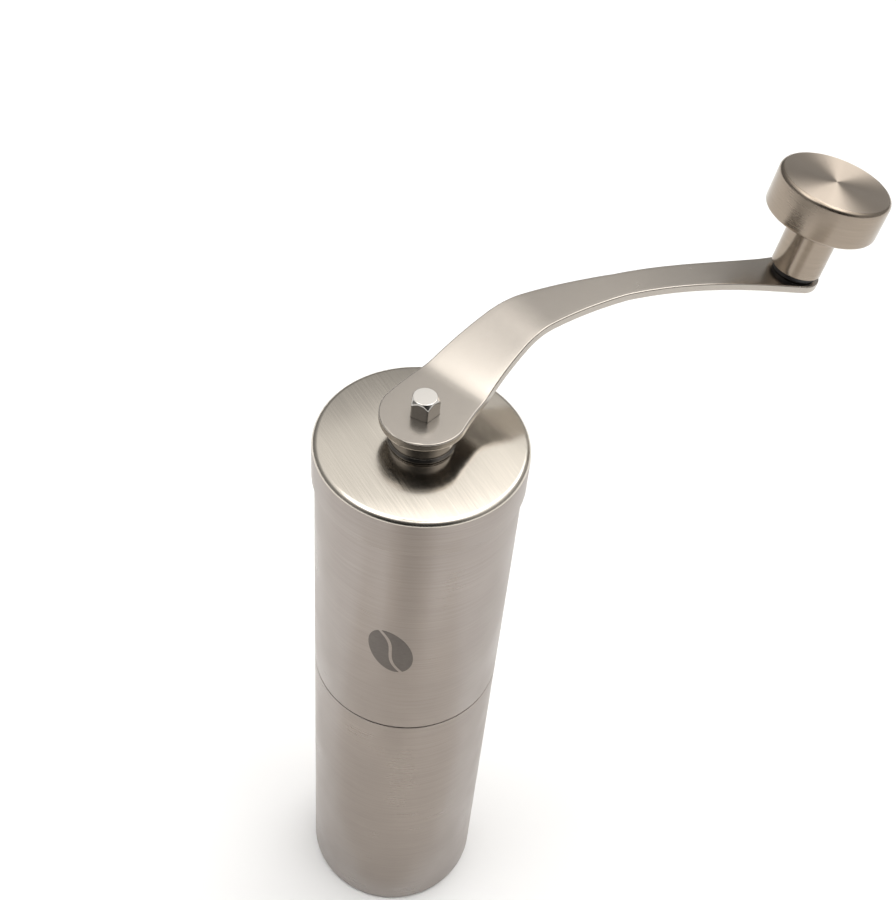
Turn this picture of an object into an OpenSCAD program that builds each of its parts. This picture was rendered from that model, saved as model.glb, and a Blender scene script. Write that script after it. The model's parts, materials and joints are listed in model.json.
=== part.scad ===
// Hand crank coffee grinder: tube body, lid, cranked steel arm with a spinning knob, conical ceramic burrs.
// Millimetres, +Z up, origin at the centre of the base, crank pointing along +X.

/* [Body] */
// Outer diameter of the tube
body_d = 47; // [44:0.5:52]
// Height of the container up to the seam
seam_z = 95.1; // [85:0.5:105]
// Height of the lid's top face
lid_top_z = 174.8; // [160:0.5:190]
// Height of the lid's skirt
lid_skirt_h = 10.7; // [8:0.1:14]
// Wall of the steel tubes
wall = 0.8; // [0.6:0.1:1.2]

/* [Crank] */
// Distance from the shaft's axis to the knob's pivot
arm_reach = 101.7; // [90:0.5:115]
// Thickness of the arm's sheet
arm_t = 2; // [1.5:0.1:2.5]
// Direction in which the arm leaves the hub, in degrees from the line to the knob
arm_out_deg = 29.9; // [20:0.1:45]
// Slope of the joggle that lifts the arm, in degrees
joggle_deg = 25.6; // [15:0.1:40]
// Outward tilt of the knob, in degrees
knob_tilt = 11.7; // [0:0.1:15]

/* [Knob] */
// Diameter of the knob's head
head_d = 27.1; // [24:0.1:32]
// Height of the knob's head
head_h = 9.7; // [7:0.1:12]
// Diameter of the knob's neck
neck_d = 12.3; // [10:0.1:16]
// Length of the knob's neck
neck_h = 13.9; // [10:0.1:18]

/* [Shaft] */
// Distance from the shaft's axis to a corner of its pentagon
pent_r = 3.45; // [2.8:0.05:4]
// Height of the shaft's top
shaft_top_z = 187.9; // [184:0.1:192]

/* [Hidden] */
$fn = 64;

steel = [0.66, 0.65, 0.63];
polished = [0.78, 0.78, 0.78];
black = [0.07, 0.07, 0.07];
ceramic = [0.93, 0.92, 0.88];
pale = [0.85, 0.85, 0.83];
brass = [0.76, 0.6, 0.3];

// Clearances
run_gap = 0.08;
seam_gap = 0.2;
face_gap = 0.15;
// How far a cutter runs past the face that it cuts
past = 1;

// Tubes
body_r = body_d / 2;
cup_in_r = body_r - wall;
cup_floor = 1;
cup_edge = 1.6;
cup_top_z = seam_z - seam_gap / 2;
tube_z = seam_z + seam_gap / 2;
tube_top_z = lid_top_z - 1.2;
spigot_r = cup_in_r - run_gap;
spigot_in_r = spigot_r - wall;
spigot_z = 70;
ledge_z = tube_z + 1;

// Lid
lid_wall = 0.6;
lid_r = body_r + run_gap + lid_wall;
lid_in_z = lid_top_z - 0.8;
lid_edge = 1.7;
lid_in_edge = 0.3;
lid_hole_r = 5;
liner_r = cup_in_r - run_gap;
liner_z = lid_in_z - 5.5;
liner_wall = 1.4;
liner_hub_h = 3;
liner_hole_r = pent_r + 0.2;

// Crank hub
hub_gap = 0.15;
boss_z = lid_top_z + hub_gap;
arm_z = 183.2;
arm_under_z = arm_z - arm_t;
boss_foot_r = 7.9;
boss_foot_h = 0.9;
boss_edge = 0.4;
boss_waist_r = 7.2;
boss_flare_h = 1.1;
boss_top_r = 8;
boss_top_h = 0.6;
pent_turn = 36;
pent_fit = 0.06;

// Shaft
round_r = 2.6;
pent_foot_z = 107;
shaft_chamfer = 1.5;
shaft_face_r = 2.6;
flat_top_z = 92;
flat_half = 2.1;
thread_top_z = 68.5;
thread_r = 2.5;
thread_depth = 0.4;
thread_pitch = 0.8;
thread_rise = 0.3;
thread_lead = 0.5;
shaft_foot_z = 58;

// Shaft guide in the hopper
guide_z = ledge_z + 0.4;
guide_h = 6;
guide_ring_w = 1.2;
guide_hub_r = 7;
guide_hub_h = 8;
guide_spoke_w = 3;
guide_spoke_h = 5;
guide_spokes = 3;
bush_r = 4.4;
bush_flange_r = 5.6;
bush_flange_h = 0.9;

// Burrs
housing_r = spigot_in_r;
housing_z = 70.4;
housing_top_z = 92;
throat_z = 84;
throat_top_z = 85.6;
throat_r = 13;
ring_r = 15;
ring_z = 72;
clamp_r = 17.6;
clamp_bore_r = 13;
lug_w = 3;
ring_mouth_r = 12.4;
ring_neck_r = 9.2;
ring_neck_z = 80;
ring_top_r = 10.4;
ring_teeth = 24;
groove_w = 1.2;
groove_depth = 1;
groove_len = 16;
cone_foot_z = 71;
cone_top_z = 87;
cone_foot_r = 12.1;
cone_mid_r = 8.4;
cone_top_r = 6;
cone_bore_r = 5.2;
cone_blades = 6;
blade_gap = 1.4;
blade_gap_depth = 6;
blade_gap_len = 14;
blade_twist = 14;
blade_lean = -6;
driver_flange_r = 8.5;
driver_flange_z = 69.6;
driver_top_z = 82;
washer_h = 0.8;
washer_z = guide_z - washer_h;
spring_r = 4.2;
spring_wire = 0.4;
spring_turns = 5;
spring_steps = 20;
spring_sides = 6;

// Adjuster
plate_r = 9.5;
plate_z = 68.4;
plate_top_z = driver_flange_z;
plate_notches = 12;
notch_r = 1;
dial_r = 11;
dial_z = 60;
dial_top_z = 68.3;
dial_lobes = 10;
lobe_r = 2.2;
lobe_out = 0.8;
insert_r = 4.4;
insert_flange_r = 5.4;
insert_flange_h = 1.2;

// Knob and rivet, along the knob's own axis from the arm's top face
rivet_r = 2.5;
rivet_head_r = 4;
rivet_head_h = 1.3;
neck_z = 1.4;
neck_edge = 0.3;
head_z = neck_z + neck_h;
head_edge = 1.2;
head_foot_edge = 0.5;
head_wall = 1.6;
disc_h = 1;
rivet_top_z = head_z + 2.4;
bush_z = neck_z + 0.3;
bush_out_r = 4.4;
knob_washer_r = neck_d / 2 - 1;
seat_gap = 0.14;

// Arm: a strip that follows a curve in plan and a joggle in height
arm_pull_hub = 41.4;
arm_pull_knob = 26.4;
arm_in_deg = -6.2;
bend_1_s = 12.1;
bend_1_half = 2;
bend_2_s = 31;
bend_2_half = 4.5;
droop_s = 75.9;
droop_half = 21.7;
hub_r = 9.8;
waist_half = 3.9;
waist_s = 57.9;
pad_r = 6.4;
hub_taper = 1.12;
pad_taper = 3.45;
arm_steps = 72;
cap_steps = 8;

function bez(t) = [
    3 * (1 - t) * (1 - t) * t * arm_pull_hub * cos(arm_out_deg)
        + 3 * (1 - t) * t * t * (arm_reach - arm_pull_knob * cos(arm_in_deg)) + t * t * t * arm_reach,
    3 * (1 - t) * (1 - t) * t * arm_pull_hub * sin(arm_out_deg)
        - 3 * (1 - t) * t * t * arm_pull_knob * sin(arm_in_deg)
];
function bez_d(t) = (bez(t + 0.001) - bez(t - 0.001)) / 0.002;
function bez_dir(t) = bez_d(t) / norm(bez_d(t));
function arm_s(i) = i == 0 ? 0 : arm_s(i - 1) + norm(bez(i / arm_steps) - bez((i - 1) / arm_steps));
arm_len = arm_s(arm_steps);

function bent(s, at, half) =
    abs(s - at) < half ? (s - at + half) * (s - at + half) / (4 * half) : max(s - at, 0);
function strip_z(s) = tan(joggle_deg) * (bent(s, bend_1_s, bend_1_half) - bent(s, bend_2_s, bend_2_half))
    - tan(knob_tilt) * bent(s, droop_s, droop_half);
function strip_w(s) = waist_half
    + (hub_r - waist_half) * pow(max((waist_s - s) / waist_s, 0), hub_taper)
    + (pad_r - waist_half) * pow(max((s - waist_s) / (arm_len - waist_s), 0), pad_taper);
function slope(s) = (strip_z(s + 0.01) - strip_z(s - 0.01)) / 0.02;

// One station: [x, y, direction, s, half width]
hub_stations = [
    for (k = [0 : cap_steps - 1])
        let (a = 90 * (k + 0.15) / (cap_steps + 0.15), s = -hub_r * cos(a), d = bez_dir(0))
            [s * d[0], s * d[1], d, s, hub_r * sin(a)]
];
mid_stations = [
    for (i = [0 : arm_steps])
        let (t = i / arm_steps, p = bez(t), s = arm_s(i))
            [p[0], p[1], bez_dir(min(max(t, 0.001), 0.999)), s, strip_w(s)]
];
pad_stations = [
    for (k = [1 : cap_steps])
        let (a = 90 * k / (cap_steps + 0.15), e = pad_r * sin(a), d = bez_dir(0.999))
            [arm_reach + e * d[0], e * d[1], d, arm_len + e, pad_r * cos(a)]
];
stations = concat(hub_stations, mid_stations, pad_stations);
station_n = len(stations);

function station_points(q) =
    let (
        m = slope(q[3]),
        c = 1 / sqrt(1 + m * m),
        left = [-q[2][1], q[2][0]],
        top_z = arm_z + strip_z(q[3]),
        low = [q[0] + q[2][0] * m * c * arm_t, q[1] + q[2][1] * m * c * arm_t],
        low_z = top_z - arm_t * c
    ) [
        [q[0] + left[0] * q[4], q[1] + left[1] * q[4], top_z],
        [q[0] - left[0] * q[4], q[1] - left[1] * q[4], top_z],
        [low[0] - left[0] * q[4], low[1] - left[1] * q[4], low_z],
        [low[0] + left[0] * q[4], low[1] + left[1] * q[4], low_z]
    ];

module strip_solid() {
    pts = [for (q = stations) each station_points(q)];
    sides = [
        for (i = [0 : station_n - 2], e = [0 : 3])
            let (a = 4 * i + e, b = 4 * i + (e + 1) % 4, c = b + 4, d = a + 4)
                each [[a, c, b], [a, d, c]]
    ];
    last = 4 * (station_n - 1);
    ends = [[0, 1, 2], [0, 2, 3], [last + 2, last + 1, last], [last + 3, last + 2, last]];
    polyhedron(points = pts, faces = concat(sides, ends), convexity = 6);
}

module ring(outer, inner, low, high) {
    translate([0, 0, low])
        difference() {
            cylinder(r = outer, h = high - low);
            translate([0, 0, -past])
                cylinder(r = inner, h = high - low + 2 * past);
        }
}

module pentagon(r, low, high) {
    translate([0, 0, low])
        rotate([0, 0, pent_turn])
            cylinder($fn = 5, r = r, h = high - low);
}

module flats(r, half, low, high) {
    translate([0, 0, low])
        intersection() {
            cylinder(r = r, h = high - low);
            translate([-half, -r - past, 0])
                cube([2 * half, 2 * (r + past), high - low]);
        }
}

function arc_pts(cx, cz, r, from, to, n) = [
    for (i = [0 : n]) [cx + r * cos(from + (to - from) * i / n), cz + r * sin(from + (to - from) * i / n)]
];

module at_knob() {
    translate([arm_reach, 0, arm_z + strip_z(arm_len)])
        rotate([0, knob_tilt, 0])
            children();
}

// Container

module container() {
    outer = concat(
        arc_pts(body_r - cup_edge, cup_edge, cup_edge, -90, 0, 5),
        [[body_r, cup_top_z], [cup_in_r, cup_top_z]],
        arc_pts(cup_in_r - cup_edge, cup_edge + cup_floor, cup_edge, 0, -90, 5)
    );
    color(steel)
        rotate_extrude()
            polygon(concat([[0, 0]], outer, [[0, cup_floor]]));
}

// Upper body

module upper_tube() {
    color(steel)
        rotate_extrude()
            polygon([
                [spigot_r, spigot_z], [spigot_r, tube_z], [body_r, tube_z], [body_r, tube_top_z],
                [cup_in_r, tube_top_z], [cup_in_r, ledge_z], [spigot_in_r, ledge_z], [spigot_in_r, spigot_z]
            ]);
}

module shaft_guide() {
    ring_in_r = cup_in_r - guide_ring_w;
    color(black)
        difference() {
            union() {
                ring(cup_in_r, ring_in_r, ledge_z, ledge_z + guide_h);
                translate([0, 0, guide_z])
                    cylinder(r = guide_hub_r, h = guide_hub_h);
                for (i = [0 : guide_spokes - 1])
                    rotate([0, 0, 360 * i / guide_spokes])
                        translate([0, -guide_spoke_w / 2, guide_z])
                            cube([ring_in_r + guide_ring_w / 2, guide_spoke_w, guide_spoke_h]);
            }
            translate([0, 0, guide_z - past])
                cylinder(r = bush_r, h = guide_hub_h + 2 * past);
        }
}

module guide_bush() {
    top = guide_z + guide_hub_h;
    color(polished)
        difference() {
            union() {
                translate([0, 0, guide_z])
                    cylinder(r = bush_r, h = top - guide_z);
                translate([0, 0, top])
                    cylinder(r = bush_flange_r, h = bush_flange_h);
            }
            translate([0, 0, guide_z - past])
                cylinder(r = round_r + run_gap, h = guide_hub_h + bush_flange_h + 2 * past);
        }
}

module burr_housing() {
    color(black)
        rotate_extrude()
            polygon([
                [housing_r, housing_z], [housing_r, housing_top_z], [housing_r - 1, housing_top_z],
                [throat_r, throat_top_z], [throat_r, throat_z], [ring_r, throat_z], [ring_r, ring_z],
                [clamp_r, ring_z], [clamp_r, housing_z]
            ]);
}

module outer_burr() {
    cone_angle = atan((ring_mouth_r - ring_neck_r) / (ring_neck_z - ring_z));
    color(ceramic)
        difference() {
            rotate_extrude()
                polygon([
                    [ring_r, ring_z], [ring_r, throat_z], [ring_top_r, throat_z], [ring_neck_r, ring_neck_z],
                    [ring_mouth_r, ring_z]
                ]);
            for (i = [0 : ring_teeth - 1])
                rotate([0, 0, 360 * i / ring_teeth])
                    translate([ring_mouth_r, -groove_w / 2, ring_z - past])
                        rotate([0, -cone_angle, 0])
                            translate([-4 * groove_depth, 0, 0])
                                cube([5 * groove_depth, groove_w, groove_len]);
        }
}

module burr_clamp() {
    color(pale)
        difference() {
            ring(clamp_r, clamp_bore_r, housing_z, ring_z);
            for (i = [0 : 2])
                rotate([0, 0, 120 * i])
                    translate([clamp_r - past, -lug_w / 2, housing_z - past])
                        cube([3 * past, lug_w, ring_z - housing_z + 2 * past]);
        }
}

// Lid

module lid_shell() {
    skirt_z = lid_top_z - lid_skirt_h;
    in_r = body_r + run_gap;
    top = concat(
        [[lid_r, skirt_z]],
        arc_pts(lid_r - lid_edge, lid_top_z - lid_edge, lid_edge, 0, 90, 6),
        [[lid_hole_r, lid_top_z], [lid_hole_r, lid_in_z]]
    );
    color(steel)
        rotate_extrude()
            polygon(concat(
                top,
                arc_pts(in_r - lid_in_edge, lid_in_z - lid_in_edge, lid_in_edge, 90, 0, 4),
                [[in_r, skirt_z]]
            ));
}

module lid_liner() {
    color(black)
        rotate_extrude()
            polygon([
                [liner_r, liner_z], [liner_r, lid_in_z], [liner_hole_r, lid_in_z],
                [liner_hole_r, lid_in_z - liner_hub_h],
                [liner_hole_r + liner_wall, lid_in_z - liner_hub_h],
                [liner_hole_r + liner_wall, lid_in_z - liner_wall],
                [liner_r - liner_wall, lid_in_z - liner_wall],
                [liner_r - liner_wall, liner_z]
            ]);
}

// Shaft

module drive_shaft() {
    threads = floor((thread_top_z - shaft_foot_z - 2 * thread_lead) / thread_pitch);
    first_z = shaft_foot_z + thread_lead + 0.2;
    root_r = thread_r - thread_depth;
    color(polished) {
        union() {
            intersection() {
                pentagon(pent_r, pent_foot_z, shaft_top_z);
                translate([0, 0, pent_foot_z])
                    rotate_extrude()
                        polygon([
                            [0, 0], [pent_r + 0.1, 0],
                            [pent_r + 0.1, shaft_top_z - pent_foot_z - shaft_chamfer],
                            [shaft_face_r, shaft_top_z - pent_foot_z], [0, shaft_top_z - pent_foot_z]
                        ]);
            }
            translate([0, 0, flat_top_z])
                cylinder(r = round_r, h = pent_foot_z - flat_top_z);
            flats(round_r, flat_half, thread_top_z, flat_top_z);
            intersection() {
                rotate_extrude()
                    polygon(concat(
                        [[0, shaft_foot_z], [root_r, shaft_foot_z], [thread_r, shaft_foot_z + thread_lead]],
                        [
                            for (i = [0 : threads - 1])
                                let (z = first_z + i * thread_pitch, mid_z = z + thread_rise)
                                    each [[thread_r, z], [root_r, mid_z], [thread_r, mid_z + thread_rise]]
                        ],
                        [[thread_r, thread_top_z], [0, thread_top_z]]
                    ));
                flats(round_r, flat_half, shaft_foot_z - past, thread_top_z + past);
            }
        }
    }
}

module thrust_washer() {
    color(polished)
        ring(bush_flange_r, round_r + run_gap, washer_z - face_gap, guide_z - face_gap);
}

module spring() {
    low = cone_top_z + spring_wire;
    high = washer_z - face_gap - spring_wire;
    n = spring_turns * spring_steps;
    pts = [
        for (i = [0 : n], j = [0 : spring_sides - 1])
            let (a = 360 * i / spring_steps, b = 360 * j / spring_sides, r = spring_r + spring_wire * cos(b))
                [r * cos(a), r * sin(a), low + (high - low) * i / n + spring_wire * sin(b)]
    ];
    body = [
        for (i = [0 : n - 1], j = [0 : spring_sides - 1])
            let (
                a = i * spring_sides + j,
                b = i * spring_sides + (j + 1) % spring_sides,
                c = b + spring_sides,
                d = a + spring_sides
            ) each [[a, b, c], [a, c, d]]
    ];
    first = [for (j = [spring_sides - 1 : -1 : 0]) j];
    last = [for (j = [0 : spring_sides - 1]) n * spring_sides + j];
    color(polished)
        polyhedron(points = pts, faces = concat(body, [first], [last]), convexity = 10);
}

// Burr on the shaft

module inner_burr() {
    color(ceramic)
        difference() {
            rotate_extrude()
                polygon([
                    [cone_bore_r, cone_foot_z], [cone_foot_r, cone_foot_z], [cone_foot_r, ring_z],
                    [cone_mid_r, ring_neck_z], [cone_top_r, cone_top_z], [cone_bore_r, cone_top_z]
                ]);
            for (i = [0 : cone_blades - 1])
                rotate([0, 0, 360 * i / cone_blades])
                    translate([cone_top_r + 0.2, -blade_gap / 2, ring_neck_z - 3])
                        rotate([blade_twist, blade_lean, 0])
                            cube([blade_gap_depth, blade_gap, blade_gap_len]);
        }
}

module burr_driver() {
    color(black)
        difference() {
            union() {
                translate([0, 0, driver_flange_z])
                    cylinder(r = driver_flange_r, h = cone_foot_z - driver_flange_z);
                translate([0, 0, cone_foot_z])
                    cylinder(r = cone_bore_r, h = driver_top_z - cone_foot_z);
            }
            flats(round_r + run_gap, flat_half + run_gap, driver_flange_z - past, driver_top_z + past);
        }
}

module detent_plate() {
    color(polished)
        difference() {
            translate([0, 0, plate_z])
                cylinder(r = plate_r, h = plate_top_z - plate_z);
            flats(round_r + run_gap, flat_half + run_gap, plate_z - past, plate_top_z + past);
            for (i = [0 : plate_notches - 1])
                rotate([0, 0, 360 * i / plate_notches])
                    translate([plate_r, 0, plate_z - past])
                        cylinder(r = notch_r, h = plate_top_z - plate_z + 2 * past);
        }
}

module adjuster_dial() {
    color(pale)
        difference() {
            translate([0, 0, dial_z])
                cylinder(r = dial_r, h = dial_top_z - dial_z);
            translate([0, 0, dial_z - past])
                cylinder(r = insert_r, h = dial_top_z - dial_z + 2 * past);
            translate([0, 0, dial_z - past])
                cylinder(r = insert_flange_r, h = insert_flange_h + past);
            for (i = [0 : dial_lobes - 1])
                rotate([0, 0, 360 * i / dial_lobes])
                    translate([dial_r + lobe_out, 0, dial_z - past])
                        cylinder(r = lobe_r, h = dial_top_z - dial_z + 2 * past);
        }
}

module dial_insert() {
    color(brass)
        difference() {
            union() {
                translate([0, 0, dial_z])
                    cylinder(r = insert_r, h = dial_top_z - dial_z);
                translate([0, 0, dial_z])
                    cylinder(r = insert_flange_r, h = insert_flange_h);
            }
            translate([0, 0, dial_z - past])
                cylinder(r = thread_r + run_gap, h = dial_top_z - dial_z + 2 * past);
        }
}

// Crank

module crank_arm() {
    color(steel)
        difference() {
            strip_solid();
            pentagon(pent_r + pent_fit, arm_under_z - past, arm_z + past);
            at_knob()
                translate([0, 0, -arm_t - past])
                    cylinder(r = rivet_r, h = arm_t + 2 * past);
        }
}

module crank_boss() {
    color(polished)
        difference() {
            rotate_extrude()
                polygon([
                    [0, boss_z], [boss_foot_r - boss_edge, boss_z], [boss_foot_r, boss_z + boss_edge],
                    [boss_foot_r, boss_z + boss_foot_h], [boss_waist_r, boss_z + boss_foot_h + boss_flare_h],
                    [boss_waist_r, arm_under_z - boss_top_h - boss_flare_h],
                    [boss_top_r, arm_under_z - boss_top_h], [boss_top_r, arm_under_z], [0, arm_under_z]
                ]);
            pentagon(pent_r + pent_fit, boss_z - past, arm_under_z + past);
        }
}

module knob_rivet() {
    under = -arm_t - rivet_head_h;
    color(polished)
        at_knob() {
            translate([0, 0, under])
                cylinder(r = rivet_head_r, h = rivet_head_h);
            translate([0, 0, -arm_t])
                cylinder(r = rivet_r, h = rivet_top_z + arm_t);
            translate([0, 0, rivet_top_z])
                cylinder(r = rivet_head_r, h = rivet_head_h);
        }
}

module knob_washer() {
    color(black)
        at_knob()
            ring(knob_washer_r, rivet_r, seat_gap, neck_z - face_gap);
}

module knob_neck() {
    color(steel)
        at_knob()
            rotate_extrude()
                polygon([
                    [bush_out_r, neck_z], [neck_d / 2 - neck_edge, neck_z], [neck_d / 2, neck_z + neck_edge],
                    [neck_d / 2, head_z], [head_d / 2 - head_wall, head_z],
                    [head_d / 2 - head_wall, head_z + disc_h], [bush_out_r, head_z + disc_h]
                ]);
}

module knob_bush() {
    color(black)
        at_knob()
            ring(bush_out_r, rivet_r + run_gap, bush_z, rivet_top_z - face_gap);
}

module knob_head() {
    r = head_d / 2;
    top_z = head_z + head_h;
    color(steel)
        at_knob()
            rotate_extrude()
                polygon([
                    [r - head_wall, head_z], [r - head_foot_edge, head_z], [r, head_z + head_foot_edge],
                    [r, top_z - head_edge], [r - head_edge, top_z],
                    [0, top_z], [0, top_z - head_wall], [r - head_wall, top_z - head_wall]
                ]);
}

container();
upper_tube();
shaft_guide();
guide_bush();
burr_housing();
outer_burr();
burr_clamp();
lid_shell();
lid_liner();
drive_shaft();
thrust_washer();
spring();
inner_burr();
burr_driver();
detent_plate();
adjuster_dial();
dial_insert();
crank_arm();
crank_boss();
knob_rivet();
knob_washer();
knob_neck();
knob_bush();
knob_head();
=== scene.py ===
"""Looks of the hand crank coffee grinder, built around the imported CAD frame. Lengths are millimetres times MM."""

import json
import math

import bmesh
import bpy
from mathutils import Matrix, Vector


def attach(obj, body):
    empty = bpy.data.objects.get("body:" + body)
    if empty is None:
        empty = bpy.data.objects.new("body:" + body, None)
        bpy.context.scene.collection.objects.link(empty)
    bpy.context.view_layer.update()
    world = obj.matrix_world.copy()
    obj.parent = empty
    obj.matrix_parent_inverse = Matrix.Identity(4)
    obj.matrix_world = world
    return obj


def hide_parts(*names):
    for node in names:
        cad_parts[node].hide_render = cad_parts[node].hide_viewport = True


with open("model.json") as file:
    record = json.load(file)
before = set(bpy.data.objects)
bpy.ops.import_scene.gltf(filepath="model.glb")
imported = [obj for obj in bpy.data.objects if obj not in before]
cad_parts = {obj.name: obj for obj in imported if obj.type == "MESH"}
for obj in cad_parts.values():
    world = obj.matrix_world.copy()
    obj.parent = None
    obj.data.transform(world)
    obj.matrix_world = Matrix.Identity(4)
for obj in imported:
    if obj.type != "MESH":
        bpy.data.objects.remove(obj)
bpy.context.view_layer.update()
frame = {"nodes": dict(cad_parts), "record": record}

MM = 0.001

# Tubes
BODY_R = 23.5
WALL = 0.8
CUP_FLOOR = 1.0
CUP_ROUND = 1.6
FOOT_RING_R = 19.8
FOOT_SLOPE = 0.6
FOOT_RECESS = 0.25
CUP_TOP = 94.85
TUBE_FOOT = 95.35
TUBE_TOP = 173.6
LEDGE = 96.2
SPIGOT_R = 22.62
SPIGOT_IN_R = 21.82
SPIGOT_FOOT = 70.0
TUBE_SEG = 192

# Lid
LID_R = 24.18
LID_TOP = 174.8
LID_UNDER = 174.0
LID_ROUND = 1.5
LID_BORE_R = 5.0
CROWN = 0.35
CROWN_R = 12.0
CROWN_ROUND = 60.0
SKIRT_FOOT = 164.1
SKIRT_IN_R = 23.58

# Crank's strip and collar
ARM_TOP = 183.2
ARM_T = 2.0
ARM_EDGE = 0.35
COLLAR_FOOT = 174.95
COLLAR_FOOT_R = 7.6
COLLAR_R = 7.1
COLLAR_TOP = 181.2
COLLAR_BORE_R = 3.6

# Shaft
SHAFT_TOP = 187.9
SHAFT_FACE_R = 2.6
SHAFT_CHAMFER = 1.5
PENT_FOOT = 107.0
ROUND_R = 2.6
FLAT_TOP = 92.0
FLAT_HALF = 2.1
THREAD_TOP = 68.5
THREAD_R = 2.5
THREAD_ROOT = 2.1
THREAD_PITCH = 0.8
SHAFT_FOOT = 58.0
PENT_R = 3.45
PENT_TURN = math.radians(36)
PENT_FIT = 0.06
CORNER_POWER = 36
SHAFT_EDGE = 0.25
TOP_EDGE = 0.1

# The arm's curve in plan, its joggle and its width, as in the CAD part
REACH = 101.7
OUT = math.radians(29.9)
PULL_HUB = 41.4
IN = math.radians(-6.2)
PULL_KNOB = 26.4
SLOPE = math.tan(math.radians(25.6))
BEND_1, BEND_1_HALF = 12.1, 2.0
BEND_2, BEND_2_HALF = 31.0, 4.5
DROOP_MID, DROOP_HALF = 75.9, 21.7
TILT = math.radians(11.7)
HUB_R = 9.8
WAIST_HALF = 3.9
WAIST_S = 57.9
PAD_R = 6.4
HUB_TAPER = 1.12
PAD_TAPER = 3.45
STEPS = 90
CAP_STEPS = 24
ACROSS = 8
EDGE_STEPS = 4

# Knob, along its own axis from the arm's top face
HEAD_R = 13.55
HEAD_IN_R = 11.95
HEAD_H = 9.7
HEAD_WALL = 1.6
NECK_R = 6.15
NECK_H = 13.9
NECK_Z = 1.4
HEAD_Z = NECK_Z + NECK_H
FLANGE_R = 11.9
FLANGE_T = 1.0
BUSH_R = 4.4
RIVET_R = 2.5
WASHER_R = 5.3
WASHER_T = 1.25

# Coffee-bean mark
MARK_TURN = math.radians(-131)
MARK_Z = 127.0
MARK_HALF_W = 5.0
MARK_HALF_H = 8.0
MARK_LEAN = math.radians(20)
MARK_SUNK = 0.05
MARK_PROUD = 0.02
CREASE_WAVE = 0.9
CREASE_HALF = 0.4
MARK_ROWS = 40
MARK_COLUMNS = 8

# Stage, in metres. Each card has its near and far distance in front of the part, its half widths there, and its grey
FLOOR_HALF = 3.0
CARD_FOOT = 0.002
CARD_STEP = 0.001
CARDS = (
    (0.026, 0.115, 0.085, 0.12, 0.74),
    (0.105, 0.62, 0.042, 0.22, 0.68),
    (0.12, 0.62, 0.018, 0.14, 0.53),
)

# Camera: 36 mm over the picture's height
SENSOR = 36
LENS = 55.226
AZIMUTH = math.radians(-123.9)
ELEVATION = math.radians(46.642)
ROLL = math.radians(5.619)
DISTANCE = 303.664
TARGET = Vector((4.871, -3.273, 172.134))

# Sky: strength by the upward part of a direction, then dimmer on the camera's side and brighter to its right
PEAK = 2.5
HEIGHT_STOPS = (
    (0.0, 0.25), (0.31, 0.28), (0.447, 0.30), (0.60, 0.50), (0.66, 0.60), (0.72, 1.0), (0.78, 1.05),
    (0.83, 1.1), (0.875, 2.3), (0.91, 2.6), (0.965, 2.6), (0.99, 0.9), (1.0, 0.8),
)
SKY_COLOUR = (1.0, 0.985, 0.96, 1)
DIM_TILT = math.radians(25)
DIM_FROM, DIM_TO, DIM_LEAST = 0.55, 0.88, 0.12
RIGHT_FROM, RIGHT_TO, RIGHT_MOST = -0.05, 0.12, 1.45

# Ranges that noise is mapped from
GRAIN = (0.3, 0.7)
CLOUD = (0.35, 0.65)


# Mesh helpers


def fillet(points, closed=True, n=6):
    """Rounds the corners of a profile. Each point is (r, z, corner radius)."""
    out = []
    count = len(points)
    for i, (x, z, f) in enumerate(points):
        if f <= 0 or (not closed and i in (0, count - 1)):
            out.append((x, z))
            continue
        p = Vector((x, z))
        a = Vector(points[i - 1][:2]) - p
        b = Vector(points[(i + 1) % count][:2]) - p
        a.normalize()
        b.normalize()
        half = math.acos(max(-1, min(1, a.dot(b)))) / 2
        reach = f / math.tan(half)
        centre = p + (a + b).normalized() * (f / math.sin(half))
        start = p + a * reach - centre
        stop = p + b * reach - centre
        a0 = math.atan2(start.y, start.x)
        turn = (math.atan2(stop.y, stop.x) - a0 + math.pi) % (2 * math.pi) - math.pi
        for k in range(n + 1):
            t = a0 + turn * k / n
            out.append((centre.x + f * math.cos(t), centre.y + f * math.sin(t)))
    return out


def linked(name, data):
    """A new object in the scene."""
    obj = bpy.data.objects.new(name, data)
    bpy.context.scene.collection.objects.link(obj)
    return obj


def new_object(name, verts, faces, sharp=30):
    """A smooth-shaded mesh object from points in millimetres."""
    mesh = bpy.data.meshes.new(name)
    mesh.from_pydata([tuple(c * MM for c in v) for v in verts], [], faces)
    bm = bmesh.new()
    bm.from_mesh(mesh)
    bmesh.ops.remove_doubles(bm, verts=bm.verts, dist=1e-7)
    bmesh.ops.recalc_face_normals(bm, faces=bm.faces)
    bm.to_mesh(mesh)
    bm.free()
    mesh.shade_smooth()
    mesh.set_sharp_from_angle(angle=math.radians(sharp))
    return linked(name, mesh)


def lathe(name, profile, seg=160, sharp=30):
    """Turns a closed (r, z) profile about Z. Points on the axis stay single."""
    verts = []
    rings = []
    for r, z in profile:
        if r < 1e-6:
            rings.append([len(verts)] * seg)
            verts.append((0, 0, z))
        else:
            rings.append(list(range(len(verts), len(verts) + seg)))
            for i in range(seg):
                a = 2 * math.pi * i / seg
                verts.append((r * math.cos(a), r * math.sin(a), z))
    faces = []
    for k in range(len(rings)):
        low, high = rings[k], rings[(k + 1) % len(rings)]
        for i in range(seg):
            j = (i + 1) % seg
            face = []
            for v in (low[i], low[j], high[j], high[i]):
                if v not in face:
                    face.append(v)
            if len(face) > 2:
                faces.append(face)
    return new_object(name, verts, faces, sharp)


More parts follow.
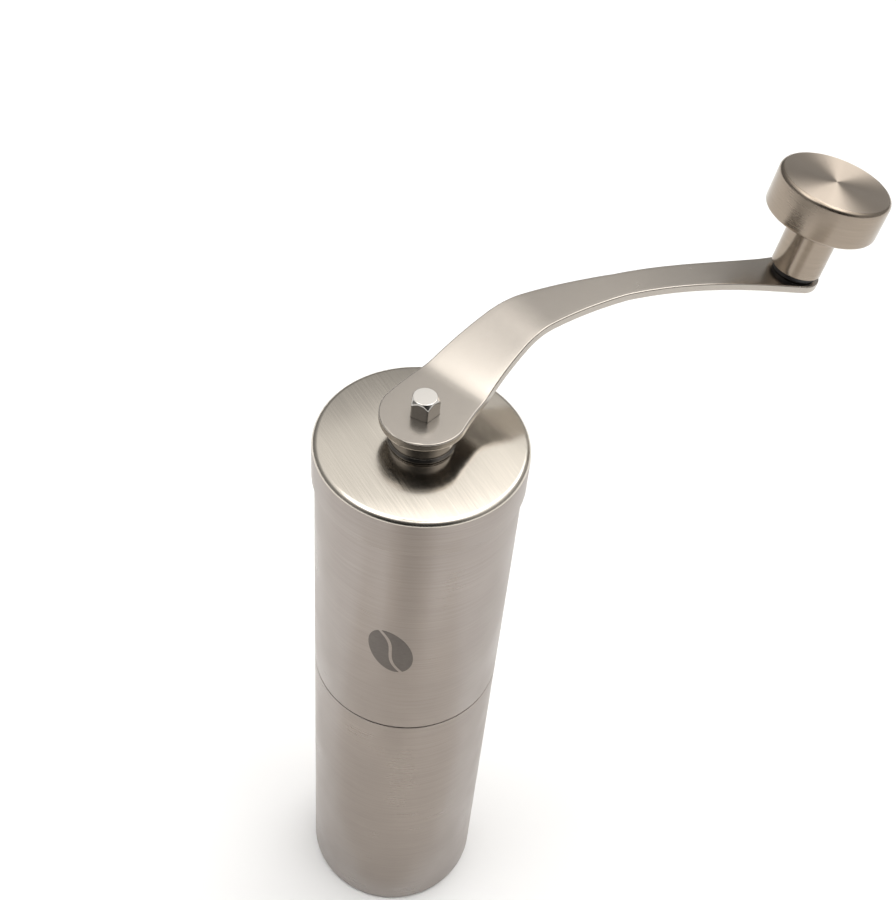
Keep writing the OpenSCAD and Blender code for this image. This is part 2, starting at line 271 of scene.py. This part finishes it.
def prism(name, outline, low, high, sharp=30):
    """A straight prism of a plan outline."""
    n = len(outline)
    verts = [(x, y, low) for x, y in outline] + [(x, y, high) for x, y in outline]
    faces = [list(range(n)), list(range(n, 2 * n))]
    faces += [[i, (i + 1) % n, n + (i + 1) % n, n + i] for i in range(n)]
    return new_object(name, verts, faces, sharp)


def pentagon(r):
    """The shaft's five corners in plan."""
    turns = [PENT_TURN + k * 2 * math.pi / 5 for k in range(5)]
    return [(r * math.cos(a), r * math.sin(a)) for a in turns]


def band(verts, count):
    """Quads between each ring of count points and the next."""
    faces = []
    for start in range(0, len(verts) - count, count):
        for i in range(count):
            a, b = start + i, start + (i + 1) % count
            faces.append([a, b, b + count, a + count])
    return faces


def apply_modifiers(obj):
    """Bakes an object's modifiers into its mesh."""
    bpy.context.view_layer.update()
    graph = bpy.context.evaluated_depsgraph_get()
    mesh = bpy.data.meshes.new_from_object(obj.evaluated_get(graph))
    obj.modifiers.clear()
    obj.data = mesh
    return obj


def boolean(obj, tool, operation):
    """Cuts obj with tool, or keeps what they share, and deletes tool."""
    m = obj.modifiers.new("cut", "BOOLEAN")
    m.operation = operation
    m.solver = "EXACT"
    m.object = tool
    apply_modifiers(obj)
    bpy.data.objects.remove(tool)
    return obj


def even_flats(obj):
    """Sharpens the edges of a cut shape and evens out the shading of its flats."""
    obj.data.set_sharp_from_angle(angle=math.radians(50))
    m = obj.modifiers.new("flats", "WEIGHTED_NORMAL")
    m.keep_sharp = True
    return apply_modifiers(obj)


# Materials


def nodes_of(name):
    """A new node material with its Principled shader."""
    m = bpy.data.materials.new(name)
    m.use_nodes = True
    return m, m.node_tree, m.node_tree.nodes["Principled BSDF"]


def add(tree, kind, **values):
    """A node with inputs or properties set by name."""
    node = tree.nodes.new(kind)
    for key, value in values.items():
        if key in node.inputs:
            node.inputs[key].default_value = value
        else:
            setattr(node, key, value)
    return node


def stretched_noise(tree, scale, detail=3.0, rough=0.6, rotate=(0, 0, 0)):
    """Noise in the part's own coordinates, stretched by a scale for each axis."""
    where = add(tree, "ShaderNodeTexCoord")
    mapping = add(tree, "ShaderNodeMapping")
    mapping.inputs["Scale"].default_value = scale
    mapping.inputs["Rotation"].default_value = rotate
    noise = add(tree, "ShaderNodeTexNoise")
    noise.inputs["Scale"].default_value = 1.0
    noise.inputs["Detail"].default_value = detail
    noise.inputs["Roughness"].default_value = rough
    tree.links.new(where.outputs["Object"], mapping.inputs["Vector"])
    tree.links.new(mapping.outputs["Vector"], noise.inputs["Vector"])
    return noise.outputs["Fac"]


def ramp(tree, value, low, high, out_low, out_high):
    """Maps a value from one range to another, clamped."""
    node = add(tree, "ShaderNodeMapRange")
    node.inputs["From Min"].default_value = low
    node.inputs["From Max"].default_value = high
    node.inputs["To Min"].default_value = out_low
    node.inputs["To Max"].default_value = out_high
    tree.links.new(value, node.inputs["Value"])
    return node.outputs["Result"]


def tint(tree, value, dark, light):
    """Mixes two colours by a value."""
    node = add(tree, "ShaderNodeMix", data_type="RGBA")
    node.inputs["A"].default_value = (*dark, 1)
    node.inputs["B"].default_value = (*light, 1)
    tree.links.new(value, node.inputs["Factor"])
    return node.outputs["Result"]


def shades(tree, value, span, colour, spread):
    """A colour made a little darker and lighter by a noise value."""
    dark = [c * (1 - spread) for c in colour]
    light = [min(1, c * (1 + spread)) for c in colour]
    return tint(tree, ramp(tree, value, *span, 0, 1), dark, light)


def add_bump(tree, shader, height, strength, depth=0.00002):
    """Bump from a height value; depth is in metres."""
    node = add(tree, "ShaderNodeBump")
    node.inputs["Strength"].default_value = strength
    node.inputs["Distance"].default_value = depth
    tree.links.new(height, node.inputs["Height"])
    tree.links.new(node.outputs["Normal"], shader.inputs["Normal"])


def ring_noise(tree, scale):
    """Fine rings about the piece's own Z axis, as a lathe leaves them."""
    where = add(tree, "ShaderNodeTexCoord")
    flat = add(tree, "ShaderNodeVectorMath", operation="MULTIPLY")
    flat.inputs[1].default_value = (scale, scale, 0)
    radius = add(tree, "ShaderNodeVectorMath", operation="LENGTH")
    noise = add(tree, "ShaderNodeTexNoise", noise_dimensions="1D")
    noise.inputs["Scale"].default_value = 1.0
    noise.inputs["Detail"].default_value = 2.0
    tree.links.new(where.outputs["Object"], flat.inputs[0])
    tree.links.new(flat.outputs["Vector"], radius.inputs[0])
    tree.links.new(radius.outputs["Value"], noise.inputs["W"])
    return noise.outputs["Fac"]


def painted_shade_by_facing(tree, colour, low, high, low_factor, reach=None):
    """Painted shade: darkens the colour of faces whose normal points below a given height.

    Both limits are the normal's Z. With a reach, the painted shade fades out between two distances along X, in
    metres.
    """
    where = add(tree, "ShaderNodeTexCoord")
    parts = add(tree, "ShaderNodeSeparateXYZ")
    tree.links.new(where.outputs["Normal"], parts.inputs["Vector"])
    scaled = add(tree, "ShaderNodeVectorMath", operation="SCALE")
    tree.links.new(colour, scaled.inputs["Vector"])
    factor = ramp(tree, parts.outputs["Z"], low, high, low_factor, 1.0)
    if reach:
        place = add(tree, "ShaderNodeSeparateXYZ")
        tree.links.new(where.outputs["Object"], place.inputs["Vector"])
        larger = add(tree, "ShaderNodeMath", operation="MAXIMUM")
        tree.links.new(factor, larger.inputs[0])
        tree.links.new(ramp(tree, place.outputs["X"], *reach, low_factor, 1.0), larger.inputs[1])
        factor = larger.outputs["Value"]
    tree.links.new(factor, scaled.inputs["Scale"])
    return scaled.outputs["Vector"]


def metal(
    name, colour, rough, lines, spread=0.08, bump=0.1, aniso=0.0, turn=0.0, tangent=None,
    along=None, blotch=0.05, rotate=(0, 0, 0), uneven=0.03, painted_shade_limits=None,
):
    """Brushed or turned metal: fine lines in the colour, roughness and bump, with soft blotches.

    lines is the noise's scale for each axis, or one number for rings about Z. The brushing's direction is a radial
    tangent's axis or a fixed vector. The last argument holds the limits for painted shade on faces by their normal.
    """
    material, tree, shader = nodes_of(name)
    shader.inputs["Metallic"].default_value = 1.0
    shader.inputs["Anisotropic"].default_value = aniso
    shader.inputs["Anisotropic Rotation"].default_value = turn
    grain = stretched_noise(tree, lines, rotate=rotate) if isinstance(lines, tuple) else ring_noise(tree, lines)
    cloud = stretched_noise(tree, (70, 70, 55), detail=2.0, rough=0.5)
    colour_out = shades(tree, grain, GRAIN, colour, spread)
    # Painted shade: the colour is darkened on faces by their normal
    if painted_shade_limits:
        colour_out = painted_shade_by_facing(tree, colour_out, *painted_shade_limits)
    tree.links.new(colour_out, shader.inputs["Base Color"])
    total = add(tree, "ShaderNodeMath", operation="ADD")
    tree.links.new(ramp(tree, grain, *GRAIN, rough - uneven, rough + uneven), total.inputs[0])
    tree.links.new(ramp(tree, cloud, *CLOUD, -blotch, blotch), total.inputs[1])
    tree.links.new(total.outputs["Value"], shader.inputs["Roughness"])
    add_bump(tree, shader, grain, bump)
    if tangent:
        node = add(tree, "ShaderNodeTangent", direction_type="RADIAL", axis=tangent)
        tree.links.new(node.outputs["Tangent"], shader.inputs["Tangent"])
    if along:
        node = add(tree, "ShaderNodeCombineXYZ")
        for axis, value in zip("XYZ", along):
            node.inputs[axis].default_value = value
        tree.links.new(node.outputs["Vector"], shader.inputs["Tangent"])
    return material


def plastic(name, colour, rough, grain_scale=2500, spread=0.06):
    """Moulded plastic with a fine spark-eroded texture."""
    material, tree, shader = nodes_of(name)
    grain = stretched_noise(tree, (grain_scale, grain_scale, grain_scale), detail=2.0)
    cloud = stretched_noise(tree, (160, 160, 160), detail=2.0)
    tree.links.new(shades(tree, cloud, CLOUD, colour, spread), shader.inputs["Base Color"])
    tree.links.new(ramp(tree, grain, *GRAIN, rough - 0.05, rough + 0.05), shader.inputs["Roughness"])
    add_bump(tree, shader, grain, 0.15)
    return material


tube_steel = metal(
    "tube_steel", (0.36, 0.322, 0.297), 0.33, (55, 55, 2600), spread=0.07, bump=0.12, aniso=0.5, turn=0.25,
    tangent="Z",
)
# The lid's steel is lighter than the arm's: partly the lid's own tone, partly painted light for the lid top's
# brighter look
lid_steel = metal(
    "lid_steel", (0.62, 0.575, 0.51), 0.17, (4200, 60, 90), spread=0.06, bump=0.06, aniso=0.5, along=(1, 0, 0),
    blotch=0.03, rotate=(0, 0, math.radians(-8)),
)
# Painted shade: the underside's colour is darkened within 10 to 20 mm of the shaft, for a dark reflection in the lid
arm_steel = metal(
    "arm_steel", (0.435, 0.40, 0.36), 0.26, (700, 700, 700), spread=0.012, bump=0.0, blotch=0.01, uneven=0.006,
    painted_shade_limits=(-0.9, -0.3, 0.3, (0.010, 0.020)),
)
knob_steel = metal(
    "knob_steel", (0.33, 0.278, 0.226), 0.24, (90, 90, 2600), spread=0.08, bump=0.12, aniso=0.5, turn=0.25,
    tangent="Z",
)
spun_steel = metal(
    "spun_steel", (0.53, 0.46, 0.39), 0.42, 9000, spread=0.08, bump=0.04, aniso=0.95, turn=0.25, tangent="Z",
    blotch=0.0,
)
# The shaft's end face is bright; its sides are painted half as bright, as painted shade
polished = metal(
    "polished_steel", (0.80, 0.77, 0.73), 0.15, (900, 900, 900), spread=0.01, bump=0.0, blotch=0.01, uneven=0.005,
    painted_shade_limits=(0.2, 0.9, 0.5),
)
# Painted shade: the collar's polished steel is given a much darker colour, for the dark reflections it shows under
# the arm
collar_painted_dark = metal(
    "collar_painted_dark", (0.24, 0.22, 0.20), 0.12, (60, 60, 900), spread=0.02, bump=0.0, blotch=0.01, uneven=0.01,
)
spring_steel = metal("spring_steel", (0.45, 0.45, 0.45), 0.22, (900, 900, 900), spread=0.03, bump=0.02)
etched = metal("etched_mark", (0.17, 0.155, 0.145), 0.48, (900, 900, 2600), spread=0.10, bump=0.1)
brass = metal("brass", (0.70, 0.52, 0.24), 0.25, (300, 300, 3000), spread=0.05, bump=0.08)
black = plastic("black_plastic", (0.022, 0.022, 0.024), 0.45)
pale = plastic("pale_plastic", (0.78, 0.78, 0.74), 0.42)
ceramic = plastic("burr_ceramic", (0.83, 0.81, 0.75), 0.55, grain_scale=1800, spread=0.04)

FINISH = {
    "brushed_tube": tube_steel,
    "satin_arm": arm_steel,
    "knob_steel": knob_steel,
    "polished_steel": polished,
    "black_plastic": black,
    "pale_plastic": pale,
    "burr_ceramic": ceramic,
    "brass": brass,
}
SLOT_OF = {s["node"]: s["material_slot"] for s in frame["record"]["subparts"]}


def finish_piece(obj, node, body, material=None):
    """Gives a piece its material, by default the one for its CAD node's slot, hides that CAD node and attaches the
    piece to its body.
    """
    obj.data.materials.clear()
    obj.data.materials.append(material or FINISH[SLOT_OF[node]])
    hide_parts(node)
    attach(obj, body)
    return obj


# Tubes and lid

cup = lathe(
    "container_shell",
    fillet([
        (0, FOOT_RECESS, 0), (FOOT_RING_R - FOOT_SLOPE, FOOT_RECESS, 0.4), (FOOT_RING_R, 0, 0.4),
        (BODY_R, 0, CUP_ROUND), (BODY_R, CUP_TOP, 0.12), (BODY_R - WALL, CUP_TOP, 0.12),
        (BODY_R - WALL, CUP_FLOOR, CUP_ROUND), (0, CUP_FLOOR, 0),
    ], closed=False),
    seg=TUBE_SEG,
)
finish_piece(cup, "container", "container")

tube = lathe(
    "upper_shell",
    fillet([
        (SPIGOT_R, SPIGOT_FOOT, 0.3), (SPIGOT_R, TUBE_FOOT, 0.05), (BODY_R, TUBE_FOOT, 0.12),
        (BODY_R, TUBE_TOP, 0.25), (BODY_R - WALL, TUBE_TOP, 0.25), (BODY_R - WALL, LEDGE, 0.1),
        (SPIGOT_IN_R, LEDGE, 0.3), (SPIGOT_IN_R, SPIGOT_FOOT, 0.3),
    ]),
    seg=TUBE_SEG,
)
finish_piece(tube, "upper_tube", "upper")

lid = lathe(
    "lid_cap",
    fillet([
        (SKIRT_IN_R, SKIRT_FOOT, 0.2), (LID_R, SKIRT_FOOT, 0.25), (LID_R, LID_TOP - CROWN, LID_ROUND),
        (CROWN_R, LID_TOP - CROWN / 4, CROWN_ROUND), (LID_BORE_R, LID_TOP, 0.1), (LID_BORE_R, LID_UNDER, 0.2),
        (SKIRT_IN_R, LID_UNDER, 0.3),
    ]),
    seg=TUBE_SEG,
)
finish_piece(lid, "lid_shell", "lid", lid_steel)
lid.data.materials.append(tube_steel)
SKIRT_FACING = 0.35
for face in lid.data.polygons:
    if abs(face.normal.z) < SKIRT_FACING:
        face.material_index = 1


def mark_point(across_it, along_it, radius):
    """A point of the mark, leaned over and wrapped round the tube."""
    u = across_it * math.cos(MARK_LEAN) - along_it * math.sin(MARK_LEAN)
    v = across_it * math.sin(MARK_LEAN) + along_it * math.cos(MARK_LEAN)
    a = MARK_TURN + u / BODY_R
    return (radius * math.cos(a), radius * math.sin(a), MARK_Z + v)


def bean_half(side):
    """One half of a coffee bean: from its wavy crease out to the oval's edge, a thin closed patch."""
    rows, columns = MARK_ROWS, MARK_COLUMNS
    verts = []
    for radius in (BODY_R - MARK_SUNK, BODY_R + MARK_PROUD):
        for i in range(rows + 1):
            v = MARK_HALF_H * math.sin(math.pi * (i / rows - 0.5)) * 0.995
            rim = MARK_HALF_W * math.sqrt(1 - (v / MARK_HALF_H) ** 2)
            crease = CREASE_WAVE * math.sin(math.pi * v / MARK_HALF_H) + side * CREASE_HALF
            crease = max(-rim, min(rim, crease))
            for k in range(columns + 1):
                verts.append(mark_point(crease + (side * rim - crease) * k / columns, v, radius))
    width = columns + 1
    layer = width * (rows + 1)
    faces = []
    for i in range(rows):
        for k in range(columns):
            a = i * width + k
            quad = [a, a + 1, a + width + 1, a + width]
            faces.append(quad)
            faces.append([q + layer for q in reversed(quad)])
    edge = list(range(width)) + [i * width + columns for i in range(1, rows + 1)]
    edge += [rows * width + k for k in range(columns - 1, -1, -1)]
    edge += [i * width for i in range(rows - 1, 0, -1)]
    for a, b in zip(edge, edge[1:] + edge[:1]):
        faces.append([a, b, b + layer, a + layer])
    half = new_object("bean_mark_left" if side < 0 else "bean_mark_right", verts, faces)
    half.data.materials.append(etched)
    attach(half, "upper")


for side in (-1, 1):
    bean_half(side)

# Crank


def bezier(t):
    """The arm's centre line in plan."""
    u = 1 - t
    near, far = 3 * u * u * t, 3 * u * t * t
    x = near * PULL_HUB * math.cos(OUT) + far * (REACH - PULL_KNOB * math.cos(IN)) + t**3 * REACH
    y = near * PULL_HUB * math.sin(OUT) - far * PULL_KNOB * math.sin(IN)
    return Vector((x, y))


def heading(t):
    """The unit direction of the centre line."""
    t = min(max(t, 0.001), 0.999)
    return (bezier(t + 0.001) - bezier(t - 0.001)).normalized()


LENGTHS = [0.0]
for step in range(1, STEPS + 1):
    LENGTHS.append(LENGTHS[-1] + (bezier(step / STEPS) - bezier((step - 1) / STEPS)).length)
ARM_LEN = LENGTHS[-1]


def bent(s, at, half):
    """How far s is past a bend that is rounded over half its length on each side."""
    if abs(s - at) < half:
        return (s - at + half) ** 2 / (4 * half)
    return max(s - at, 0)


def strip_z(s):
    """Height of the arm's top face above the hub's."""
    rise = SLOPE * (bent(s, BEND_1, BEND_1_HALF) - bent(s, BEND_2, BEND_2_HALF))
    return rise - math.tan(TILT) * bent(s, DROOP_MID, DROOP_HALF)


def strip_w(s):
    """Half width of the arm."""
    return (
        WAIST_HALF
        + (HUB_R - WAIST_HALF) * max((WAIST_S - s) / WAIST_S, 0) ** HUB_TAPER
        + (PAD_R - WAIST_HALF) * max((s - WAIST_S) / (ARM_LEN - WAIST_S), 0) ** PAD_TAPER
    )


def stations():
    """(centre, direction, s, half width) along the arm, round ends included."""
    out = []
    for k in range(CAP_STEPS):
        a = math.pi / 2 * (k + 0.1) / (CAP_STEPS + 0.1)
        d = heading(0)
        out.append((d * (-HUB_R * math.cos(a)), d, -HUB_R * math.cos(a), HUB_R * math.sin(a)))
    for i in range(STEPS + 1):
        out.append((bezier(i / STEPS), heading(i / STEPS), LENGTHS[i], strip_w(LENGTHS[i])))
    for k in range(1, CAP_STEPS + 1):
        a = math.pi / 2 * k / (CAP_STEPS + 0.1)
        d = heading(1)
        e = PAD_R * math.sin(a)
        out.append((bezier(1) + d * e, d, ARM_LEN + e, PAD_R * math.cos(a)))
    return out


def strip_section(half):
    """(sideways, depth) points round the arm's section, with rounded edges, starting on the top face."""
    r = min(ARM_EDGE, half * 0.45)
    flat = half - r
    low = -ARM_T + r
    turns = [math.pi / 2 * k / EDGE_STEPS for k in range(EDGE_STEPS + 1)]
    fan = [(r * math.sin(a), r * math.cos(a)) for a in turns]
    row = [flat * (1 - 2 * k / ACROSS) for k in range(ACROSS + 1)]
    section = [(side, 0.0) for side in row]
    section += [(-flat - sin, -r + cos) for sin, cos in fan[1:]]
    section += [(-flat - cos, low - sin) for sin, cos in fan]
    section += [(-side, -ARM_T) for side in row[1:]]
    section += [(flat + sin, low - cos) for sin, cos in fan[1:]]
    section += [(flat + cos, -r + sin) for sin, cos in fan[:-1]]
    return section


def make_arm():
    """The steel strip, with the pentagonal hole and the rivet's hole."""
    verts = []
    for centre, d, s, half in stations():
        slope = (strip_z(s + 0.01) - strip_z(s - 0.01)) / 0.02
        c = 1 / math.sqrt(1 + slope * slope)
        left = Vector((-d.y, d.x))
        section = strip_section(half)
        for side, depth in section:
            p = centre + left * side + d * (-depth * slope * c)
            verts.append((p.x, p.y, ARM_TOP + strip_z(s) + depth * c))
    n = len(section)
    faces = band(verts, n)
    faces.append(list(range(n)))
    faces.append(list(range(len(verts) - n, len(verts))))
    strip = new_object("crank_strip", verts, faces, sharp=60)
    boolean(strip, prism("pent_tool", pentagon(PENT_R + PENT_FIT), ARM_TOP - 8, ARM_TOP + 8), "DIFFERENCE")
    rivet_tool = lathe("rivet_tool", [(0, -6), (RIVET_R, -6), (RIVET_R, 6), (0, 6)], seg=48)
    rivet_tool.matrix_world = KNOB_FRAME
    boolean(strip, rivet_tool, "DIFFERENCE")
    return even_flats(strip)


KNOB_FRAME = Matrix.Translation(Vector((REACH, 0, ARM_TOP + strip_z(ARM_LEN))) * MM)
KNOB_FRAME = KNOB_FRAME @ Matrix.Rotation(TILT, 4, "Y")

arm = make_arm()
finish_piece(arm, "crank_arm", "crank")

boss = lathe(
    "crank_collar",
    fillet([
        (COLLAR_FOOT_R, COLLAR_FOOT, 0.05), (COLLAR_FOOT_R, COLLAR_FOOT + 0.2, 0.15),
        (COLLAR_R, COLLAR_FOOT + 0.9, 1.2), (COLLAR_R, COLLAR_TOP, 0.1), (COLLAR_BORE_R, COLLAR_TOP, 0.1),
        (COLLAR_BORE_R, COLLAR_FOOT, 0.05),
    ], n=16),
    seg=128,
)
finish_piece(boss, "crank_boss", "crank", collar_painted_dark)

# Shaft


def smooth_min(a, b, blend):
    """The smaller of two values, rounded over where they are close."""
    near = max(blend - abs(a - b), 0) / blend
    return min(a, b) - near * near * blend / 4


def pentagon_radius(angle):
    """Radius of the rounded pentagon in a direction."""
    total = 0
    for k in range(5):
        total += max(math.cos(angle - PENT_TURN - (2 * k + 1) * math.pi / 5), 0) ** CORNER_POWER
    return PENT_R * math.cos(math.pi / 5) / total ** (1 / CORNER_POWER)


def shaft_head():
    """The pentagon from its foot to its turned top: each level is cut back to the chamfer's cone."""
    seg = 200
    cone_steps, edge_steps = 24, 5
    top_r = SHAFT_FACE_R + 0.1
    cone_z = SHAFT_TOP - SHAFT_CHAMFER
    edge_z = SHAFT_TOP - TOP_EDGE
    fall = (PENT_R + 0.1 - top_r) / (SHAFT_CHAMFER - TOP_EDGE)
    levels = [(PENT_FOOT, 2 * PENT_R), (cone_z - 0.6, 2 * PENT_R)]
    for k in range(cone_steps + 1):
        z = cone_z - 0.5 + (SHAFT_CHAMFER + 0.4) * k / cone_steps
        levels.append((z, top_r + (edge_z - z) * fall))
    for k in range(1, edge_steps + 1):
        a = math.pi / 2 * k / edge_steps
        levels.append((edge_z + TOP_EDGE * math.sin(a), top_r - 0.15 + 0.15 * math.cos(a)))
    verts = []
    for z, limit in levels:
        for i in range(seg):
            a = 2 * math.pi * i / seg
            r = smooth_min(pentagon_radius(a), limit, SHAFT_EDGE)
            verts.append((r * math.cos(a), r * math.sin(a), z))
    faces = [list(range(seg)), list(range(len(verts) - seg, len(verts)))] + band(verts, seg)
    return new_object("shaft_steel", verts, faces, sharp=60)


def make_shaft():
    """The pentagon joined to a round journal, two flats and a thread."""
    profile = [(0, SHAFT_FOOT), (THREAD_ROOT, SHAFT_FOOT), (THREAD_R, SHAFT_FOOT + 0.5)]
    threads = int((THREAD_TOP - SHAFT_FOOT - 1.0) / THREAD_PITCH)
    for k in range(threads):
        z = SHAFT_FOOT + 0.7 + k * THREAD_PITCH
        profile += [(THREAD_R, z), (THREAD_ROOT, z + 0.3), (THREAD_R, z + 0.6)]
    profile += [(THREAD_R, THREAD_TOP), (ROUND_R, THREAD_TOP + 0.2)]
    profile += [(ROUND_R, FLAT_TOP + 1), (0, FLAT_TOP + 1)]
    lower = lathe("lower_tool", profile, seg=64)
    width = 2 * ROUND_R
    corners = [(-FLAT_HALF, -width), (FLAT_HALF, -width), (FLAT_HALF, width), (-FLAT_HALF, width)]
    boolean(lower, prism("flat_tool", corners, SHAFT_FOOT - 1, FLAT_TOP), "INTERSECT")
    low, high = FLAT_TOP - 0.1, PENT_FOOT + 0.1
    journal = lathe("journal_tool", [(0, low), (ROUND_R, low), (ROUND_R, high), (0, high)], seg=64)
    boolean(lower, journal, "UNION")
    whole = shaft_head()
    boolean(whole, lower, "UNION")
    return even_flats(whole)


shaft = make_shaft()
finish_piece(shaft, "drive_shaft", "shaft")

# Knob

washer = lathe(
    "knob_spacer",
    fillet([(RIVET_R, 0, 0.1), (WASHER_R, 0, 0.3), (WASHER_R, WASHER_T, 0.3), (RIVET_R, WASHER_T, 0.1)]),
    seg=96,
)
washer.matrix_world = KNOB_FRAME
finish_piece(washer, "knob_washer", "crank")

neck = lathe(
    "knob_stem",
    fillet([
        (BUSH_R, NECK_Z, 0.1), (NECK_R, NECK_Z, 0.3), (NECK_R, HEAD_Z, 0.3),
        (FLANGE_R, HEAD_Z, 0.2), (FLANGE_R, HEAD_Z + FLANGE_T, 0.1), (BUSH_R, HEAD_Z + FLANGE_T, 0.1),
    ]),
    seg=128,
)
neck.matrix_world = KNOB_FRAME
finish_piece(neck, "knob_neck", "knob")

head = lathe(
    "knob_cap",
    fillet([
        (0, HEAD_Z + HEAD_H, 0), (HEAD_R, HEAD_Z + HEAD_H, 1.15), (HEAD_R, HEAD_Z, 0.9), (HEAD_IN_R, HEAD_Z, 0.1),
        (HEAD_IN_R, HEAD_Z + HEAD_H - HEAD_WALL, 0.3), (0, HEAD_Z + HEAD_H - HEAD_WALL, 0),
    ], closed=False),
    seg=TUBE_SEG,
)
head.matrix_world = KNOB_FRAME
finish_piece(head, "knob_head", "knob")
head.data.materials.append(spun_steel)
TOP_FACING = 0.97
for face in head.data.polygons:
    if face.normal.z > TOP_FACING and face.center.z > (HEAD_Z + HEAD_H - 1.2) * MM:
        face.material_index = 1

# CAD nodes that keep their own mesh

for node, obj in frame["nodes"].items():
    if not obj.hide_render:
        obj.data.materials.clear()
        obj.data.materials.append(spring_steel if node == "spring" else FINISH[SLOT_OF[node]])

# Camera

back = Vector((
    math.cos(ELEVATION) * math.cos(AZIMUTH), math.cos(ELEVATION) * math.sin(AZIMUTH), math.sin(ELEVATION),
))
right = Vector((-math.sin(AZIMUTH), math.cos(AZIMUTH), 0))
away = Vector((-back.x, -back.y, 0)).normalized()
up = back.cross(right)
across = math.cos(ROLL) * right + math.sin(ROLL) * up
upward = -math.sin(ROLL) * right + math.cos(ROLL) * up
eye = (TARGET + DISTANCE * back) * MM
camera_data = bpy.data.cameras.new("camera")
camera_data.sensor_fit = "VERTICAL"
camera_data.sensor_height = SENSOR
camera_data.lens = LENS
camera_data.clip_start = 0.01
camera = linked("camera", camera_data)
camera.matrix_world = Matrix((
    (across.x, upward.x, back.x, eye.x),
    (across.y, upward.y, back.y, eye.y),
    (across.z, upward.z, back.z, eye.z),
    (0, 0, 0, 1),
))
bpy.context.scene.camera = camera

# Stage


def sheet(name, corners, colour):
    """A flat matt sheet with its own material. The corners, in metres, run round it."""
    mesh = bpy.data.meshes.new(name)
    mesh.from_pydata(corners, [], [(0, 1, 2, 3)])
    material, _, shader = nodes_of(name)
    shader.inputs["Base Color"].default_value = (*colour, 1)
    shader.inputs["Roughness"].default_value = 0.9
    mesh.materials.append(material)
    return linked(name, mesh)


h = FLOOR_HALF
floor = sheet("floor", [(-h, -h, 0), (h, -h, 0), (h, h, 0), (-h, h, 0)], (0.88, 0.88, 0.88))

# Three grey cards in front, seen only in reflections: they darken the middle of the tube and the knob's side
for number, (near, far, near_half, far_half, grey) in enumerate(CARDS):
    lift = Vector((0, 0, CARD_FOOT + CARD_STEP * number))
    sides = ((near, -near_half), (near, near_half), (far, far_half), (far, -far_half))
    corners = [-away * distance + right * half + lift for distance, half in sides]
    card = sheet("card", corners, (grey, grey * 0.96, grey * 0.91))
    card.visible_camera = False
    card.visible_diffuse = False
    card.visible_shadow = False
    card.visible_transmission = False

# Light


def softbox(name, sideways, distance, height, size, power):
    """A square area light that faces the part, placed in metres to the camera's right, away from it, and up."""
    where = right * sideways + away * distance + Vector((0, 0, height))
    data = bpy.data.lights.new(name, "AREA")
    data.size = size
    data.energy = power
    obj = linked(name, data)
    obj.location = where
    obj.rotation_euler = (Vector((0, 0, 0.15)) - where).to_track_quat("-Z", "Y").to_euler()


softbox("key", -0.50, -0.14, 1.3, 0.55, 1.6)
softbox("side", 0.62, 0.75, 1.45, 0.6, 2.0)
fill_data = bpy.data.lights.new("fill", "SUN")
fill_data.energy = 0.5
fill_data.angle = math.radians(70)
fill = linked("fill", fill_data)
fill.visible_glossy = False

world = bpy.data.worlds.new("studio")
bpy.context.scene.world = world
world.use_nodes = True
sky = world.node_tree
direction = add(sky, "ShaderNodeTexCoord").outputs["Generated"]


def share(vector):
    """The share of a view direction that lies along a vector."""
    node = add(sky, "ShaderNodeVectorMath", operation="DOT_PRODUCT")
    sky.links.new(direction, node.inputs[0])
    node.inputs[1].default_value = vector
    return node.outputs["Value"]


def times(a, b):
    """The product of a socket and a socket or number."""
    node = add(sky, "ShaderNodeMath", operation="MULTIPLY")
    sky.links.new(a, node.inputs[0])
    if isinstance(b, float):
        node.inputs[1].default_value = b
    else:
        sky.links.new(b, node.inputs[1])
    return node.outputs["Value"]


by_height = add(sky, "ShaderNodeFloatCurve")
curve = by_height.mapping.curves[0]
for x, y in HEIGHT_STOPS[1:-1]:
    curve.points.new(x, y / PEAK)
for end in (0, -1):
    curve.points[end].location = (HEIGHT_STOPS[end][0], HEIGHT_STOPS[end][1] / PEAK)
by_height.mapping.update()
sky.links.new(share((0, 0, 1)), by_height.inputs["Value"])
dim_axis = -away * math.cos(DIM_TILT) + Vector((0, 0, 1)) * math.sin(DIM_TILT)
dim = ramp(sky, share(dim_axis), DIM_FROM, DIM_TO, 1.0, DIM_LEAST)
to_the_right = ramp(sky, share(right), RIGHT_FROM, RIGHT_TO, 1.0, RIGHT_MOST)
background = sky.nodes["Background"]
background.inputs["Color"].default_value = SKY_COLOUR
strength = times(times(by_height.outputs["Value"], dim), to_the_right)
sky.links.new(times(strength, PEAK), background.inputs["Strength"])
bpy.context.scene.view_settings.view_transform = "Standard"
